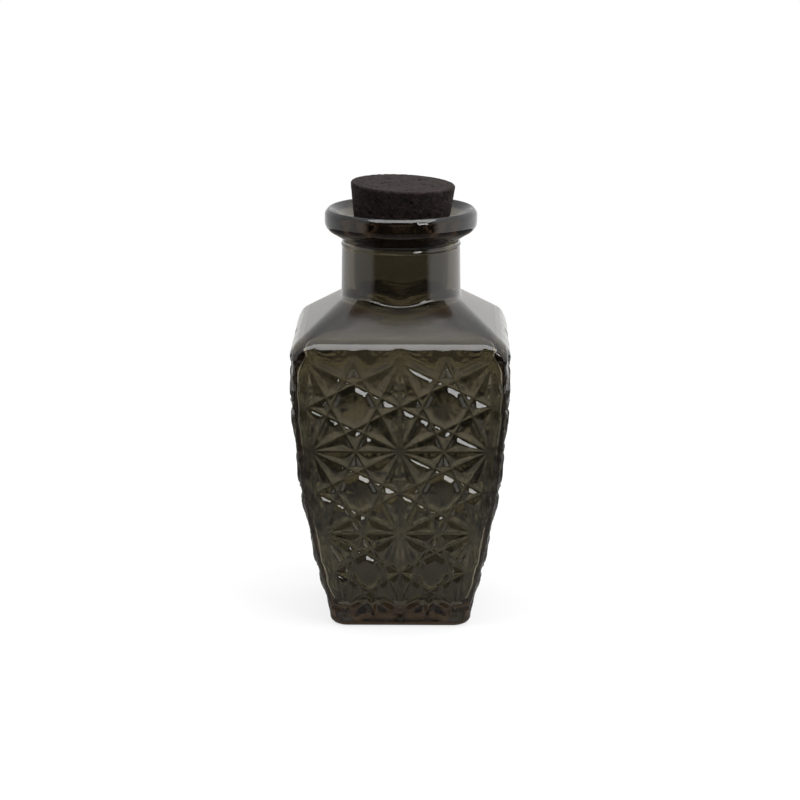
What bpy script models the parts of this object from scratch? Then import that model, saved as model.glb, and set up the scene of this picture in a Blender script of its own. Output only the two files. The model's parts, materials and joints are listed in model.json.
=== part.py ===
"""A square pressed-glass bottle with star-and-button relief and a tapered cork, at real size."""
import math

import bmesh
import bpy
from mathutils import Matrix, Vector

MM = 0.001

# Glass body: plan is a square with rounded corners, narrow at the foot and full under the shoulder
BASE_HALF_WIDTH = 24.2 * MM
BODY_HALF_WIDTH = 38.3 * MM
TAPER_POWER = 1.9
BODY_CORNER_RADIUS = 6.6 * MM
FOOT_RADIUS = 3.0 * MM
BEARING_WIDTH = 5.5 * MM
PUSH_UP = 1.2 * MM
SHOULDER_EDGE_HEIGHT = 104.6 * MM
SHOULDER_EDGE_RADIUS = 4.0 * MM
SHOULDER_CORNER_RADIUS = 12.3 * MM
SHOULDER_RISE = 10.4 * MM
CROWN_HEIGHT = 11.6 * MM
CROWN_DRAW = 3.3 * MM
CROWN_POWER = 4
WIDEST_HEIGHT = SHOULDER_EDGE_HEIGHT - CROWN_HEIGHT

# Relief: hubs stand on a lattice of ROWS by COLUMNS cells on each side of the body
ROWS = 3
COLUMNS = 2
TOP_BAND = 5.6 * MM
FOOT_BAND = 3.4 * MM
ROW_SHRINK_SHARE = 0.97
GROOVE_DEPTH = 1.5 * MM
GROOVE_SHARE = 0.072
BAND_REACH_SHARE = 0.7
FLAT_TOP_SHARE = 0.3
CORNER_SHARES = (0.22, 0.5, 0.78)

# Corners of the relief's facets, as shares of one cell across and down
LEAF_SHARES = ((0, 0), (1 / 2, 0), (2 / 5, 1 / 5))
SMALL_KITE_SHARES = ((1 / 2, 0), (3 / 5, 1 / 5), (1 / 2, 1 / 4), (2 / 5, 1 / 5))
TIP_SHARES = ((2 / 5, 1 / 5), (1 / 2, 1 / 4), (1 / 3, 1 / 3))
LARGE_KITE_SHARES = ((0, 0), (2 / 5, 1 / 5), (1 / 3, 1 / 3), (1 / 5, 2 / 5))
ZIGZAG_SHARES = ((0, 0), (2 / 5, 1 / 5), (1 / 2, 0), (3 / 5, 1 / 5))

# Bore, neck and lip
BORE_RADIUS = 16.7 * MM
NECK_WALL = 4.0 * MM
NECK_SPREAD = 0.3 * MM
NECK_LENGTH = 20.5 * MM
NECK_TOP_RADIUS = BORE_RADIUS + NECK_WALL
NECK_BASE_RADIUS = NECK_TOP_RADIUS + NECK_SPREAD
NECK_BASE_HEIGHT = SHOULDER_EDGE_HEIGHT + SHOULDER_RISE
LIP_HEIGHT = 10.5 * MM
LIP_REACH = 6.0 * MM
LIP_FLARE_RISE = 3.6 * MM
LIP_UNDER_RADIUS = 4.0 * MM
LIP_EDGE_RADIUS = 0.8 * MM
RIM_WIDTH = 1.6 * MM
LIP_RADIUS = NECK_TOP_RADIUS + LIP_REACH
LIP_BOTTOM_HEIGHT = NECK_BASE_HEIGHT + NECK_LENGTH
LIP_TOP_HEIGHT = LIP_BOTTOM_HEIGHT + LIP_HEIGHT

# Hollow
WALL_THICKNESS = 4.0 * MM
FLOOR_THICKNESS = 7.0 * MM
CAVITY_CORNER_RADIUS = 8.0 * MM
CAVITY_FLOOR_RADIUS = 6.0 * MM
DISH_DEPTH = 7.2 * MM
DISH_FOOT_RADIUS = 2.5 * MM
OVERRUN = 2.0 * MM
SEAT_HEIGHT = LIP_TOP_HEIGHT - DISH_DEPTH

# Cork, which seats by its taper on the edge of the bore
CORK_STAND = 15.9 * MM
CORK_DEPTH = 5.5 * MM
CORK_TAPER_SHARE = 0.1325
CORK_EDGE_RADIUS = 0.7 * MM
SEAT_CLEARANCE = 0.45 * MM
CORK_LEAN = math.radians(2.7)
CORK_LEAN_HEADING = math.radians(-20.0)

# Facets
QUARTER = math.pi / 2
ROUND_STEPS = 48
CORNER_STEPS = 4
FILLET_STEPS = 4
WALL_STEPS = 8
FLAT_SHARES = (-1, -1 / 2, 0, 1 / 2, 1)
SMOOTH_ANGLE = math.radians(25.0)
MERGE_DISTANCE = 0.001 * MM
CELL_MIDDLE = Vector((1 / 2, 1 / 2))
LEG = 1 / math.sqrt(5)
LONG = 2 / math.sqrt(5)

GLASS_COLOUR = (0.075, 0.068, 0.050, 1.0)
CORK_COLOUR = (0.058, 0.043, 0.038, 1.0)


def clear_scene():
    for item in list(bpy.data.objects):
        bpy.data.objects.remove(item, do_unlink=True)


def new_collection(name):
    collection = bpy.data.collections.new(name)
    bpy.context.scene.collection.children.link(collection)
    return collection


def new_material(name, colour, roughness, transmission=0.0):
    material = bpy.data.materials.new(name)
    material.use_nodes = True
    shader = material.node_tree.nodes["Principled BSDF"]
    shader.inputs["Base Color"].default_value = colour
    shader.inputs["Roughness"].default_value = roughness
    shader.inputs["Metallic"].default_value = 0.0
    shader.inputs["Transmission Weight"].default_value = transmission
    material.diffuse_color = colour
    return material


def place_mesh(bm, name, collection):
    """Turn a bmesh into a named object."""
    mesh = bpy.data.meshes.new(name)
    bm.to_mesh(mesh)
    bm.free()
    item = bpy.data.objects.new(name, mesh)
    collection.objects.link(item)
    return item


# Outlines in the plane of half width and height

def rounded(before, corner, after, radius):
    """Points of the arc that rounds a corner of an outline, from its start to its end."""
    back = (Vector(before) - Vector(corner)).normalized()
    onward = (Vector(after) - Vector(corner)).normalized()
    half_angle = back.angle(onward) / 2
    centre = Vector(corner) + (back + onward).normalized() * radius / math.sin(half_angle)
    first = Vector(corner) + back * radius / math.tan(half_angle) - centre
    last = Vector(corner) + onward * radius / math.tan(half_angle) - centre
    sweep = first.angle(last)
    points = []
    for step in range(FILLET_STEPS + 1):
        passed = sweep * step / FILLET_STEPS
        arm = first * math.sin(sweep - passed) + last * math.sin(passed)
        points.append(centre + arm / math.sin(sweep))
    return points


def inset(before, corner, after, distance):
    """An outline's corner moved in, so that both of its edges move by the distance."""
    into = (Vector(corner) - Vector(before)).normalized()
    out = (Vector(after) - Vector(corner)).normalized()
    normals = Vector((-into.y, into.x)), Vector((-out.y, out.x))
    middle = (normals[0] + normals[1]).normalized()
    return Vector(corner) + middle * distance / middle.dot(normals[0])


def half_width(height):
    """Half the width across the flats: a soft swell, drawn in again above the widest height."""
    if height > WIDEST_HEIGHT:
        rise = (height - WIDEST_HEIGHT) / CROWN_HEIGHT
        return BODY_HALF_WIDTH - CROWN_DRAW * rise ** CROWN_POWER
    drop = (WIDEST_HEIGHT - height) / WIDEST_HEIGHT
    return BODY_HALF_WIDTH - (BODY_HALF_WIDTH - BASE_HALF_WIDTH) * drop ** TAPER_POWER


def wall_point(height):
    return Vector((half_width(height), height))


def shoulder_point(half):
    """The point of the sloping shoulder at a half width, from its edge up into the neck."""
    edge = wall_point(SHOULDER_EDGE_HEIGHT)
    share = (edge.x - half) / (edge.x - NECK_BASE_RADIUS)
    return Vector((half, edge.y + share * (NECK_BASE_HEIGHT - edge.y)))


def plan_corner(half):
    """Radius of the plan's corners: even on the wall, growing as the shoulder nears the neck."""
    edge = half_width(SHOULDER_EDGE_HEIGHT)
    share = max(0.0, (edge - half) / (edge - NECK_BASE_RADIUS))
    return BODY_CORNER_RADIUS + share * (SHOULDER_CORNER_RADIUS - BODY_CORNER_RADIUS)


def shoulder_outline():
    """The outline over the shoulder's edge and up the slope to its end inside the neck."""
    edge = wall_point(SHOULDER_EDGE_HEIGHT)
    below = wall_point(SHOULDER_EDGE_HEIGHT - (1 - BAND_REACH_SHARE) * TOP_BAND)
    top = shoulder_point(NECK_BASE_RADIUS - WALL_THICKNESS)
    return rounded(below, edge, top, SHOULDER_EDGE_RADIUS) + [top]


def cavity_outline():
    """The hollow's outline from its floor to its end inside the bore."""
    heights = [FLOOR_THICKNESS + (SHOULDER_EDGE_HEIGHT - FLOOR_THICKNESS) * step / WALL_STEPS
               for step in range(-1, WALL_STEPS + 1)]
    outer = [wall_point(height) for height in heights] + [shoulder_point(BORE_RADIUS / 2)]
    inner = [inset(*outer[place - 1:place + 2], WALL_THICKNESS) for place in range(1, len(outer) - 1)]
    floor = Vector((0, FLOOR_THICKNESS))
    foot = Vector((inner[0].x, FLOOR_THICKNESS))
    inner[0] = foot
    slope = outer[-1] - outer[-2]
    top = inner[-1] + slope * (inner[-1].x - BORE_RADIUS / 2) / -slope.x
    return rounded(floor, foot, inner[1], CAVITY_FLOOR_RADIUS) + inner[1:] + [top]


# Skins built ring by ring

def on_side(side, across, out, height):
    """A point on one of the four sides: across it, out from the axis and up."""
    return Matrix.Rotation(side * QUARTER, 3, "Z") @ Vector((across, -out, height))


def section(half, corner, height):
    """The places round a square plan with rounded corners."""
    flat = half - corner
    places = []
    for side in range(4):
        places += [on_side(side, share * flat, half, height) for share in FLAT_SHARES]
        for step in range(1, CORNER_STEPS):
            turn = QUARTER * step / CORNER_STEPS
            across = flat + corner * math.sin(turn)
            out = flat + corner * math.cos(turn)
            places.append(on_side(side, across, out, height))
    return places


def ring(bm, half, corner, height):
    return [bm.verts.new(place) for place in section(half, corner, height)]


def stitch(bm, one, other):
    """Fill the strip between two lines of vertices with triangles, by the shorter way across."""
    first = second = 0
    while first < len(one) - 1 or second < len(other) - 1:
        step_one = math.inf
        step_other = math.inf
        if first < len(one) - 1:
            step_one = (one[first + 1].co - other[second].co).length
        if second < len(other) - 1:
            step_other = (other[second + 1].co - one[first].co).length
        if step_one <= step_other:
            bm.faces.new((one[first], one[first + 1], other[second]))
            first += 1
        else:
            bm.faces.new((one[first], other[second + 1], other[second]))
            second += 1


def bridge(bm, lower, upper):
    """Join two rings of as many vertices, place by place."""
    for place in range(len(lower)):
        bm.faces.new((lower[place - 1], lower[place], upper[place], upper[place - 1]))


def bridge_all(bm, rings):
    for lower, upper in zip(rings, rings[1:]):
        bridge(bm, lower, upper)


def cavity_mesh():
    """The hollow of the body as one closed skin, rounded square in plan."""
    bm = bmesh.new()
    rings = []
    for half, height in cavity_outline():
        corner = min(CAVITY_CORNER_RADIUS, half / 2)
        rings.append(ring(bm, half, corner, height))
    bm.faces.new(rings[0])
    bm.faces.new(rings[-1])
    bridge_all(bm, rings)
    bmesh.ops.recalc_face_normals(bm, faces=bm.faces)
    return bm


# Relief

def row_pitch(row):
    """Height of one row of cells: each is a little lower than the row above it."""
    span = SHOULDER_EDGE_HEIGHT - TOP_BAND - FOOT_BAND - FOOT_RADIUS
    return span * ROW_SHRINK_SHARE ** row / sum(ROW_SHRINK_SHARE ** each for each in range(ROWS))


def row_height(row):
    """Height of a place of the lattice, with rows counted down from the top hubs."""
    whole = max(0, min(ROWS - 1, math.floor(row)))
    passed = sum(row_pitch(each) for each in range(whole))
    return SHOULDER_EDGE_HEIGHT - TOP_BAND - passed - (row - whole) * row_pitch(whole)


def side_place(side, column, row, rise):
    """A place on a flat side, with rise 0 at the bottom of the grooves and 1 on the buttons."""
    height = row_height(row)
    half = half_width(height)
    across = (2 * column / COLUMNS - 1) * (half - BODY_CORNER_RADIUS)
    return on_side(side, across, half - (1 - rise) * GROOVE_DEPTH, height)


def corner_place(side, share, row, rise):
    """A place on the rounded corner after a side, at a share of its turn."""
    height = row_height(row)
    flat = half_width(height) - BODY_CORNER_RADIUS
    radius = BODY_CORNER_RADIUS - (1 - rise) * GROOVE_DEPTH
    turn = share * QUARTER
    return on_side(side, flat + radius * math.sin(turn), flat + radius * math.cos(turn), height)


def incentre(shares):
    """Centre and radius of a facet's inscribed circle, where two corners' bisectors meet."""
    before, start, end, after = (Vector(shares[place]) for place in (-1, 0, 1, 2))
    along = (end - start).normalized()
    one = along + (before - start).normalized()
    other = (after - end).normalized() - along
    centre = start + one * (end - start).cross(other) / one.cross(other)
    return centre, abs(along.cross(centre - start))


def copies(shares, mirrored):
    """A facet's corners turned about the middle of the cell, and mirrored if asked."""
    images = []
    for flip in (False, True) if mirrored else (False,):
        for quarter in range(4):
            turn = Matrix.Rotation(quarter * QUARTER, 2)
            image = []
            for across, down in shares:
                arm = Vector((down, across) if flip else (across, down)) - CELL_MIDDLE
                place = CELL_MIDDLE + turn @ arm
                image.append((round(place.x, 6), round(place.y, 6)))
            images.append(image)
    return images


def button_shares():
    """The eight corners of the button in the middle of a cell."""
    corners = copies((TIP_SHARES[2], TIP_SHARES[1]), mirrored=False)
    return [corner for pair in corners for corner in pair]


class Relief:
    """The pressed skin of the four sides and corners, whose facets share their vertices."""

    def __init__(self, bm):
        self.bm = bm
        self.known = {}

    def vertex(self, side, column, row, rise):
        key = (side % 4, round(column, 5), round(row, 5), round(rise, 5))
        if key not in self.known:
            self.known[key] = self.bm.verts.new(side_place(*key))
        return self.known[key]

    def fan(self, corners, apex):
        for place, corner in enumerate(corners):
            self.bm.faces.new((corners[place - 1], corner, apex))

    def facet(self, side, column, row, shares):
        """A pyramid on a facet's corners, with a flat top where its middle is far from the edges."""
        centre, reach = incentre(shares)
        corners = [self.vertex(side, column + across, row + down, 0) for across, down in shares]
        shrink = 1 - GROOVE_SHARE / reach
        if shrink < FLAT_TOP_SHARE:
            rise = min(1.0, reach / GROOVE_SHARE)
            self.fan(corners, self.vertex(side, column + centre.x, row + centre.y, rise))
            return
        inner = []
        for share in shares:
            place = centre + (Vector(share) - centre) * shrink
            inner.append(self.vertex(side, column + place.x, row + place.y, 1))
        for place in range(len(corners)):
            around = corners[place - 1], corners[place], inner[place], inner[place - 1]
            self.bm.faces.new(around)
        self.fan(inner, self.vertex(side, column + centre.x, row + centre.y, 1))

    def cell(self, side, column, row):
        """One cell: a button in the middle, and round it the rays of four quarter stars."""
        self.facet(side, column, row, button_shares())
        for shares in copies(SMALL_KITE_SHARES, mirrored=False):
            self.facet(side, column, row, shares)
        for shares in copies(LARGE_KITE_SHARES, mirrored=False):
            self.facet(side, column, row, shares)
        for shares in copies(TIP_SHARES, mirrored=True):
            self.facet(side, column, row, shares)
        for shares in copies(LEAF_SHARES, mirrored=True):
            on_top = row == 0 and sum(down == 0 for across, down in shares) == 2
            at_foot = row == ROWS - 1 and sum(down == 1 for across, down in shares) == 2
            if not on_top and not at_foot:
                self.facet(side, column, row, shares)

    def zigzag(self, side, row, inward):
        """The outermost groove of a side's first or last row."""
        line = [self.vertex(side, column + across, row + inward * down, 0)
                for column in range(COLUMNS) for across, down in ZIGZAG_SHARES]
        return line + [self.vertex(side, COLUMNS, row, 0)]

    def brink(self, side, row, inward, limit):
        """The line along which that groove's outer slope reaches the plain band."""
        groove = GROOVE_SHARE
        step = (LEG + LONG) * groove
        shares = [(0, -groove / LONG), (2 / 5 - LEG * groove, 1 / 5 - step)]
        shares += [(1 / 2 - LONG * groove, -LEG * groove), (1 / 2, -groove)]
        shares += [(1 / 2 + LONG * groove, -LEG * groove), (3 / 5 + LEG * groove, 1 / 5 - step)]
        places = [(column + across, max(down, -limit))
                  for column in range(COLUMNS) for across, down in shares]
        places.append((COLUMNS, max(-groove / LONG, -limit)))
        return [self.vertex(side, column, row + inward * down, 1) for column, down in places]

    def corner_lines(self, side, limits):
        """Lines of vertices down a rounded corner, notched where the grooves run out into it."""
        rows = [-min(GROOVE_SHARE, limits[0])]
        rows += [quarter / 4 for quarter in range(4 * ROWS + 1)]
        rows.append(ROWS + min(GROOVE_SHARE, limits[1]))
        lines = []
        for share in CORNER_SHARES:
            line = []
            for row in rows:
                notched = share != CORNER_SHARES[1] and 0 <= row <= ROWS and (2 * row) % 1 == 0
                place = corner_place(side, share, row, LEG if notched else 1)
                line.append(self.bm.verts.new(place))
            lines.append(line)
        return lines

    def edge_line(self, side, column, brinks):
        """The upright groove where a flat side meets its corner."""
        halves = [self.vertex(side, column, half / 2, 0) for half in range(2 * ROWS + 1)]
        return [brinks[0]] + halves + [brinks[1]]

    def build(self):
        """Lay every cell, border and corner, and return the closed loops at the top and the foot."""
        limits = (BAND_REACH_SHARE * TOP_BAND / row_pitch(0),
                  BAND_REACH_SHARE * FOOT_BAND / row_pitch(ROWS - 1))
        tops = [self.brink(side, 0, 1, limits[0]) for side in range(4)]
        feet = [self.brink(side, ROWS, -1, limits[1]) for side in range(4)]
        top_loop = []
        foot_loop = []
        for side in range(4):
            for column in range(COLUMNS):
                for row in range(ROWS):
                    self.cell(side, column, row)
            stitch(self.bm, self.zigzag(side, 0, 1), tops[side])
            stitch(self.bm, self.zigzag(side, ROWS, -1), feet[side])
            onward = (side + 1) % 4
            lines = self.corner_lines(side, limits)
            lines.insert(0, self.edge_line(side, COLUMNS, (tops[side][-1], feet[side][-1])))
            lines.append(self.edge_line(onward, 0, (tops[onward][0], feet[onward][0])))
            for line, following in zip(lines, lines[1:]):
                stitch(self.bm, line, following)
            top_loop += tops[side] + [line[0] for line in lines[1:-1]]
            foot_loop += feet[side] + [line[-1] for line in lines[1:-1]]
        return top_loop, foot_loop


def foot_rings(bm):
    """The rounded edge of the foot, the flat ring it stands on and the shallow push-up."""
    base = half_width(FOOT_RADIUS)
    rings = []
    for step in range(FILLET_STEPS + 1):
        turn = QUARTER * step / FILLET_STEPS
        inward = FOOT_RADIUS * (1 - math.cos(turn))
        height = FOOT_RADIUS * (1 - math.sin(turn))
        rings.append(ring(bm, base - inward, BODY_CORNER_RADIUS - inward, height))
    inner = base - FOOT_RADIUS - BEARING_WIDTH
    rings.append(ring(bm, inner, BODY_CORNER_RADIUS, 0))
    rings.append(ring(bm, inner - 2 * PUSH_UP, BODY_CORNER_RADIUS, PUSH_UP))
    return rings


def body_mesh():
    """The pressed body as one closed solid skin, which ends above inside the neck."""
    bm = bmesh.new()
    top_loop, foot_loop = Relief(bm).build()
    foot = foot_rings(bm)
    shoulder = []
    for half, height in shoulder_outline():
        shoulder.append(ring(bm, half, plan_corner(half), height))
    for loop, rings in ((foot_loop, foot), (top_loop, shoulder)):
        stitch(bm, loop + loop[:1], rings[0] + rings[0][:1])
        bridge_all(bm, rings)
        bm.faces.new(rings[-1])
    bmesh.ops.recalc_face_normals(bm, faces=bm.faces)
    return bm


# Turned shapes

def turned(name, outline, collection):
    """A solid turned from an outline that runs from the axis down its outer side to the axis."""
    bm = bmesh.new()
    line = [bm.verts.new((radius, 0, height)) for radius, height in outline]
    for upper, lower in zip(line, line[1:]):
        bm.edges.new((upper, lower))
    item = place_mesh(bm, name, collection)
    screw = item.modifiers.new("turn", "SCREW")
    screw.steps = ROUND_STEPS
    screw.render_steps = ROUND_STEPS
    screw.use_merge_vertices = True
    screw.merge_threshold = MERGE_DISTANCE
    screw.use_smooth_shade = True
    return item


def neck_outline():
    """The neck's outer side and its flared lip, solid, down into the body."""
    top = Vector((0, LIP_TOP_HEIGHT))
    rim = Vector((LIP_RADIUS, LIP_TOP_HEIGHT))
    under = Vector((LIP_RADIUS, LIP_BOTTOM_HEIGHT + LIP_FLARE_RISE))
    throat = Vector((NECK_TOP_RADIUS, LIP_BOTTOM_HEIGHT))
    outline = [top] + rounded(top, rim, under, LIP_EDGE_RADIUS)
    outline += rounded(rim, under, throat, LIP_UNDER_RADIUS) + [throat]
    outline += [(NECK_BASE_RADIUS, NECK_BASE_HEIGHT), (NECK_BASE_RADIUS, SHOULDER_EDGE_HEIGHT)]
    return outline + [(0, SHOULDER_EDGE_HEIGHT)]


def throat_outline():
    """The dished mouth and the bore, down into the hollow of the body."""
    mouth = Vector((LIP_RADIUS - RIM_WIDTH, LIP_TOP_HEIGHT))
    above = mouth + Vector((0, OVERRUN))
    seat = Vector((BORE_RADIUS, SEAT_HEIGHT))
    root = Vector((BORE_RADIUS, NECK_BASE_HEIGHT - WALL_THICKNESS - OVERRUN))
    outline = [(0, above.y), above, mouth] + rounded(mouth, seat, root, DISH_FOOT_RADIUS)
    return outline + [root, (0, root.y)]


def cork_outline():
    """The cork about the middle of its seat, where its radius clears the bore."""
    seat = BORE_RADIUS - SEAT_CLEARANCE
    top = Vector((seat + CORK_TAPER_SHARE * CORK_STAND, CORK_STAND))
    tip = Vector((seat - CORK_TAPER_SHARE * CORK_DEPTH, -CORK_DEPTH))
    axis_top = Vector((0, top.y))
    axis_tip = Vector((0, tip.y))
    outline = [axis_top] + rounded(axis_top, top, tip, CORK_EDGE_RADIUS)
    return outline + rounded(top, tip, axis_tip, CORK_EDGE_RADIUS) + [axis_tip]


# Pieces

def boolean(item, tool, operation):
    """Join or cut the item with a hidden tool."""
    modifier = item.modifiers.new(tool.name, "BOOLEAN")
    modifier.operation = operation
    modifier.solver = "EXACT"
    modifier.object = tool
    tool.hide_render = True
    tool.display_type = "WIRE"


def settle(item):
    """Keep the item's finished mesh in place of its modifiers, smooth but for its creases."""
    finished = item.evaluated_get(bpy.context.evaluated_depsgraph_get())
    mesh = bpy.data.meshes.new_from_object(finished)
    mesh.name = item.name
    mesh.shade_smooth()
    mesh.set_sharp_from_angle(angle=SMOOTH_ANGLE)
    item.modifiers.clear()
    item.data = mesh


def make_bottle(parts, tools):
    """The moulded glass: pressed body joined to the turned neck, then hollowed from the mouth down."""
    bottle = place_mesh(body_mesh(), "glass_bottle", parts)
    neck = turned("neck_blank", neck_outline(), tools)
    hollow = place_mesh(cavity_mesh(), "hollow_cutter", tools)
    throat = turned("throat_cutter", throat_outline(), tools)
    boolean(hollow, throat, "UNION")
    boolean(bottle, neck, "UNION")
    boolean(bottle, hollow, "DIFFERENCE")
    settle(bottle)
    bottle.data.materials.append(new_material("smoked_glass", GLASS_COLOUR, 0.05, 1.0))
    return bottle


def make_cork(parts):
    """The cork, pushed in a little askew: its own axis is the way it pulls out."""
    cork = turned("cork_stopper", cork_outline(), parts)
    settle(cork)
    heading = Matrix.Rotation(CORK_LEAN_HEADING, 3, "Z")
    lean = heading @ Matrix.Rotation(CORK_LEAN, 3, "Y") @ heading.transposed()
    cork.location = (0, 0, SEAT_HEIGHT)
    cork.rotation_euler = lean.to_euler()
    cork.data.materials.append(new_material("dark_cork", CORK_COLOUR, 0.9))
    return cork


def main():
    clear_scene()
    parts = new_collection("square_glass_bottle")
    tools = new_collection("cutters")
    make_bottle(parts, tools)
    make_cork(parts)


main()
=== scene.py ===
"""A smoked pressed-glass bottle with a dark cork, on a pale floor in soft studio light."""
import json
import math

import bmesh
import bpy
from mathutils import Matrix, Vector, noise


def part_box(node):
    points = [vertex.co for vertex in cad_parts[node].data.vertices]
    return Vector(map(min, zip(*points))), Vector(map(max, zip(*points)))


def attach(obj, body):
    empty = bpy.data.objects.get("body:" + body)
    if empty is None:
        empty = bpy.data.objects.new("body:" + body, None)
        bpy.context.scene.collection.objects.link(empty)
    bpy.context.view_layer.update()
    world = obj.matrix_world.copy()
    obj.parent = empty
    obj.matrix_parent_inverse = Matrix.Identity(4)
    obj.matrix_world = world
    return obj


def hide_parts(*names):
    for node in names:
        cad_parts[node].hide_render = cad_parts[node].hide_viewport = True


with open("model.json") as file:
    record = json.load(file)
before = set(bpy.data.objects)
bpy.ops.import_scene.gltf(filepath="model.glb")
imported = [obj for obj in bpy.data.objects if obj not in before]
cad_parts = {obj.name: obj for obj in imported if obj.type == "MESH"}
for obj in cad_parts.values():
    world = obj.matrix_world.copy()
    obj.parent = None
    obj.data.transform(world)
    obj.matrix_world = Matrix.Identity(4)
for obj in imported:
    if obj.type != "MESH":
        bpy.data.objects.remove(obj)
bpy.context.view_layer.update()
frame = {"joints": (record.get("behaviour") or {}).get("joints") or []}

MM = 0.001
QUARTER = math.pi / 2
WHITE = (1.0, 1.0, 1.0, 1.0)

# Body of the bottle, in the sizes of the solids apart from the shoulder's narrower edge
BASE_HALF_WIDTH = 24.2 * MM
BODY_HALF_WIDTH = 38.3 * MM
TAPER_POWER = 1.9
CORNER_RADIUS = 6.6 * MM
FOOT_RADIUS = 3.0 * MM
BEARING_WIDTH = 5.5 * MM
PUSH_UP = 1.2 * MM
EDGE_HEIGHT = 104.6 * MM
EDGE_RADIUS = 2.2 * MM
HIP_RADIUS = 12.3 * MM
SHOULDER_RISE = 10.4 * MM
CROWN_HEIGHT = 11.6 * MM
CROWN_DRAW = 3.3 * MM
CROWN_POWER = 4
WIDEST_HEIGHT = EDGE_HEIGHT - CROWN_HEIGHT

# Rows and columns of the relief on each of the four sides, and the plain bands above and
# below them; the top one ends a little below the shoulder's edge, which is rounded from there
SIDES = 4
ROWS = 3
COLUMNS = 2
TOP_BAND = 5.6 * MM
TOP_BAND_CLEAR = 0.4 * MM
FOOT_BAND = 3.4 * MM
ROW_SHRINK_SHARE = 0.97

# Grooves between the facets: half their width in shares of a cell, and how far their bottom
# and their brinks are rounded in shares of that half width
GROOVE_DEPTH = 1.5 * MM
GROOVE_SHARE = 0.072
VALLEY_SHARE = 0.16
BRINK_SHARE = 0.24
# A groove past the side's edge goes 1 across for each 2 down, or 2 across for each 1 down
GROOVE_SLANT = math.sqrt(5)

# The stars' middles (hubs), their rays, and the bands and corners where the relief fades
# out: levels in shares of the grooves' depth, and reaches in shares of a cell
HUB_LEVEL_SHARE = 0.2
HUB_REACH_SHARES = (0.04, 0.13)
STAR_RISE_SHARE = 0.84
STAR_REACH_SHARES = (0.34, 0.46)
CORNER_FADE_SHARES = (0.1, 0.17)
TOP_FADE_SHARES = (0.01, 0.07)

# Corners of the facets of one cell, across and down in shares of it
LEAF_SHARES = ((0, 0), (1 / 2, 0), (2 / 5, 1 / 5))
SMALL_KITE_SHARES = ((1 / 2, 0), (3 / 5, 1 / 5), (1 / 2, 1 / 4), (2 / 5, 1 / 5))
TIP_SHARES = ((2 / 5, 1 / 5), (1 / 2, 1 / 4), (1 / 3, 1 / 3))
LARGE_KITE_SHARES = ((0, 0), (2 / 5, 1 / 5), (1 / 3, 1 / 3), (1 / 5, 2 / 5))
ZIGZAG_SHARES = ((0, 0), (2 / 5, 1 / 5), (1 / 2, 0), (3 / 5, 1 / 5), (1, 0))

# Places of the relief's vertices: along the long and short edges of the facets, down the
# bands, and how far in from its edges each ring of a facet lies, in shares of the groove
FROM_HUB_SHARES = (0, 0.07, 0.14, 0.22, 0.33, 0.46, 0.6, 0.75, 0.88)
TO_HUB_SHARES = [0] + [1 - share for share in reversed(FROM_HUB_SHARES[1:])]
LONG_EDGE_FROM_SHARE = 0.4
SHORT_STEP_SHARE = 0.037
SHORT_LEAST_STEPS = 3
BAND_SHARES = (0.05, 0.12, 0.21, 0.32, 0.45, 0.6, 0.8, 1)
RING_SHARES = (0.12, 0.32, 0.7, 0.95, 1.22)
LEAST_RING_SCALE = 0.08
# Digits that tell corners of facets, and vertices that facets share, from each other
SHARE_DIGITS = 6
VERTEX_DIGITS = 5

# Neck, lip and mouth
BORE_RADIUS = 16.7 * MM
NECK_TOP_RADIUS = 20.7 * MM
NECK_BASE_RADIUS = 21.0 * MM
NECK_BASE_HEIGHT = EDGE_HEIGHT + SHOULDER_RISE
NECK_FILLET = 1.6 * MM
NECK_RING_HEIGHTS = (121 * MM, 127 * MM)
SEAM_HEIGHT = 133.4 * MM
SEAM_PROUD = 0.24 * MM
SEAM_WIDTH = 0.5 * MM
SEAM_CLEAR = 0.3 * MM
LIP_BOTTOM_HEIGHT = 135.5 * MM
LIP_TOP_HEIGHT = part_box("glass_bottle")[1][2]
LIP_RADIUS = 26.7 * MM
LIP_FLARE_RISE = 3.6 * MM
LIP_UNDER_RADIUS = 4.0 * MM
BROW_HEIGHT = 1.4 * MM
BROW_WIDTH = 1.3 * MM
BROW_RADIUS = 2.6 * MM
CREST_RADIUS = 0.8 * MM
MOUTH_EDGE_RADIUS = 0.4 * MM
THROAT_FILLET = 2.0 * MM
RIM_WIDTH = 1.9 * MM
DISH_DEPTH = 7.2 * MM
DISH_FOOT_RADIUS = 2.5 * MM
DISH_RING_SHARES = (1 / 3, 2 / 3)
BORE_RING_SHARES = (1 / 3, 1 / 2, 2 / 3, 5 / 6)
SEAT_HEIGHT = LIP_TOP_HEIGHT - DISH_DEPTH

# Hollow, whose wall is thinner than the solids' 4 mm; each ring of its floor is a share of
# the one before it
WALL = 3.4 * MM
FLOOR_HEIGHT = 7.0 * MM
FLOOR_RING_SHARES = (0.75, 0.4)
HOLLOW_CORNER_RADIUS = 1.5 * MM
HOLLOW_ROUND_SHARE = 0.95
HOLLOW_FLOOR_RADIUS = 6.0 * MM
WALL_FOOT_HEIGHT = FLOOR_HEIGHT + 1.2 * HOLLOW_FLOOR_RADIUS
CEILING_HEIGHT = 109.5 * MM
CEILING_FILLET = 3.5 * MM
CEILING_RING_SHARES = (0.4, 0.6)
EAVES_FILLET = 5.0 * MM
SQUARE_BELOW_HEIGHT = CEILING_HEIGHT - 2 * WALL
RIPPLE = 0.12 * MM
RIPPLE_LENGTH = 17.0 * MM

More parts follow.
